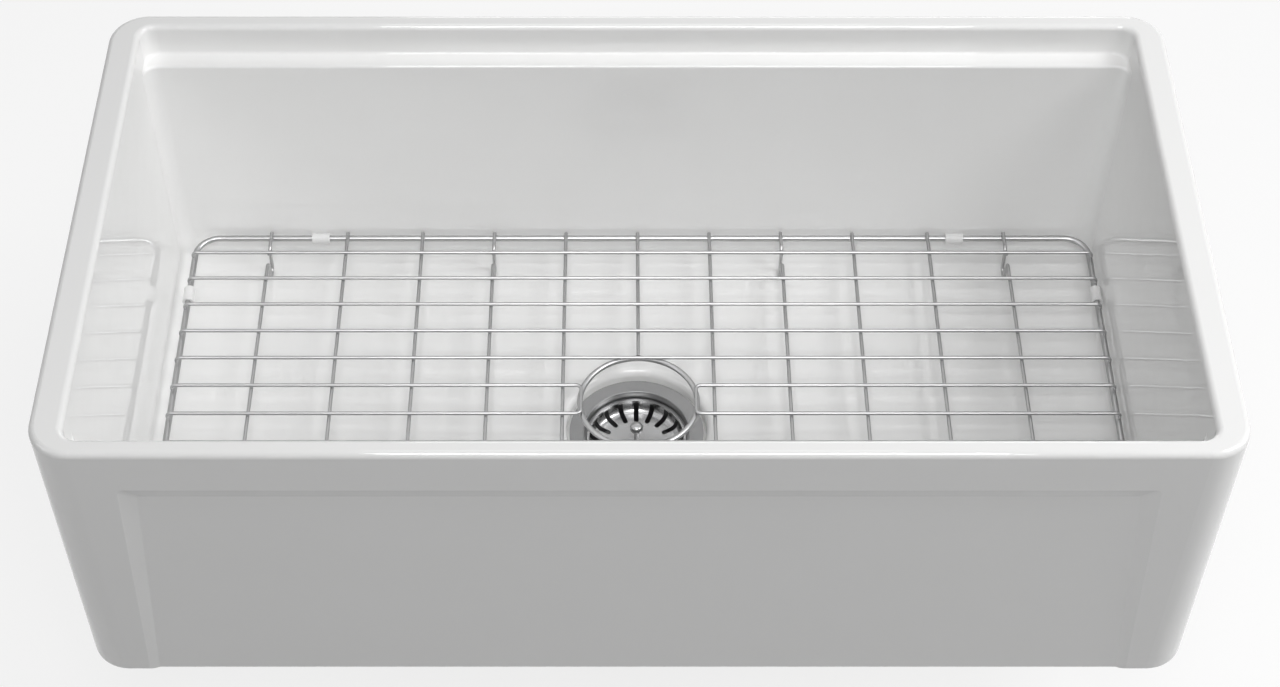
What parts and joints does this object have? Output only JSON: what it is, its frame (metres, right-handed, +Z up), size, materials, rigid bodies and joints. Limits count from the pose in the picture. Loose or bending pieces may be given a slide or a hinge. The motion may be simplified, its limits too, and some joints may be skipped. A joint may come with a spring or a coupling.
{
  "type": "farmhouse apron front sink",
  "caption": "Single bowl farmhouse sink with an apron front, a lift-out wire grid over the bottom and a lift-out basket strainer with its waste pipe.",
  "frame": {"origin": "where the drain's axis crosses the plane of the flat underside", "axes": "+Z up, +X to the right of someone who stands at the apron, +Y towards the wall behind the sink"},
  "size_m": [0.8382, 0.4572, 0.4106],
  "materials": {
    "fireclay": "glossy white glaze",
    "grid_steel": "satin polished stainless wire",
    "bumper_plastic": "soft white vinyl",
    "strainer_steel": "turned satin stainless",
    "basket_steel": "polished stainless",
    "knob_steel": "polished",
    "gasket_rubber": "matte black",
    "stopper_rubber": "matte black",
    "friction_card": "matte fibre",
    "lock_nut_brass": "cast",
    "waste_chrome": "plated",
    "washer_plastic": "natural"
  },
  "bodies": {
    "sink": {"basin": "fireclay", "strainer_body": "strainer_steel", "flange_gasket": "gasket_rubber", "under_gasket": "gasket_rubber", "friction_ring": "friction_card", "lock_nut": "lock_nut_brass", "tail_washer": "washer_plastic", "tailpiece": "waste_chrome", "coupling_nut": "waste_chrome"},
    "grid": {"bumper_back_1": "bumper_plastic", "bumper_back_2": "bumper_plastic", "bumper_front_1": "bumper_plastic", "bumper_front_2": "bumper_plastic", "bumper_left_1": "bumper_plastic", "bumper_left_2": "bumper_plastic", "bumper_right_1": "bumper_plastic", "bumper_right_2": "bumper_plastic", "centre_wire_back": "grid_steel", "centre_wire_front": "grid_steel", "cross_wire_1": "grid_steel", "cross_wire_10": "grid_steel", "cross_wire_2": "grid_steel", "cross_wire_3": "grid_steel", "cross_wire_4": "grid_steel", "cross_wire_5": "grid_steel", "cross_wire_6": "grid_steel", "cross_wire_7": "grid_steel", "cross_wire_8": "grid_steel", "cross_wire_9": "grid_steel", "drain_ring": "grid_steel", "grid_rod": "grid_steel", "hairpin_wire_left": "grid_steel", "hairpin_wire_right": "grid_steel", "leg_wire_1": "grid_steel", "leg_wire_2": "grid_steel", "leg_wire_3": "grid_steel", "leg_wire_4": "grid_steel", "long_wire_1": "grid_steel", "long_wire_2": "grid_steel", "long_wire_3": "grid_steel", "long_wire_4": "grid_steel", "long_wire_5": "grid_steel", "long_wire_6": "grid_steel"},
    "basket": {"basket_cup": "basket_steel", "basket_post": "knob_steel", "post_spacer": "knob_steel", "stopper": "stopper_rubber", "stopper_nut": "knob_steel"}
  },
  "joints": [
    {"name": "grid_lift", "type": "slide", "parent": "sink", "child": "grid", "axis": [0, 0, 1], "range_m": [0, 0.26]},
    {"name": "basket_lift", "type": "slide", "parent": "sink", "child": "basket", "axis": [0, 0, 1], "range_m": [0, 0.32]}
  ]
}
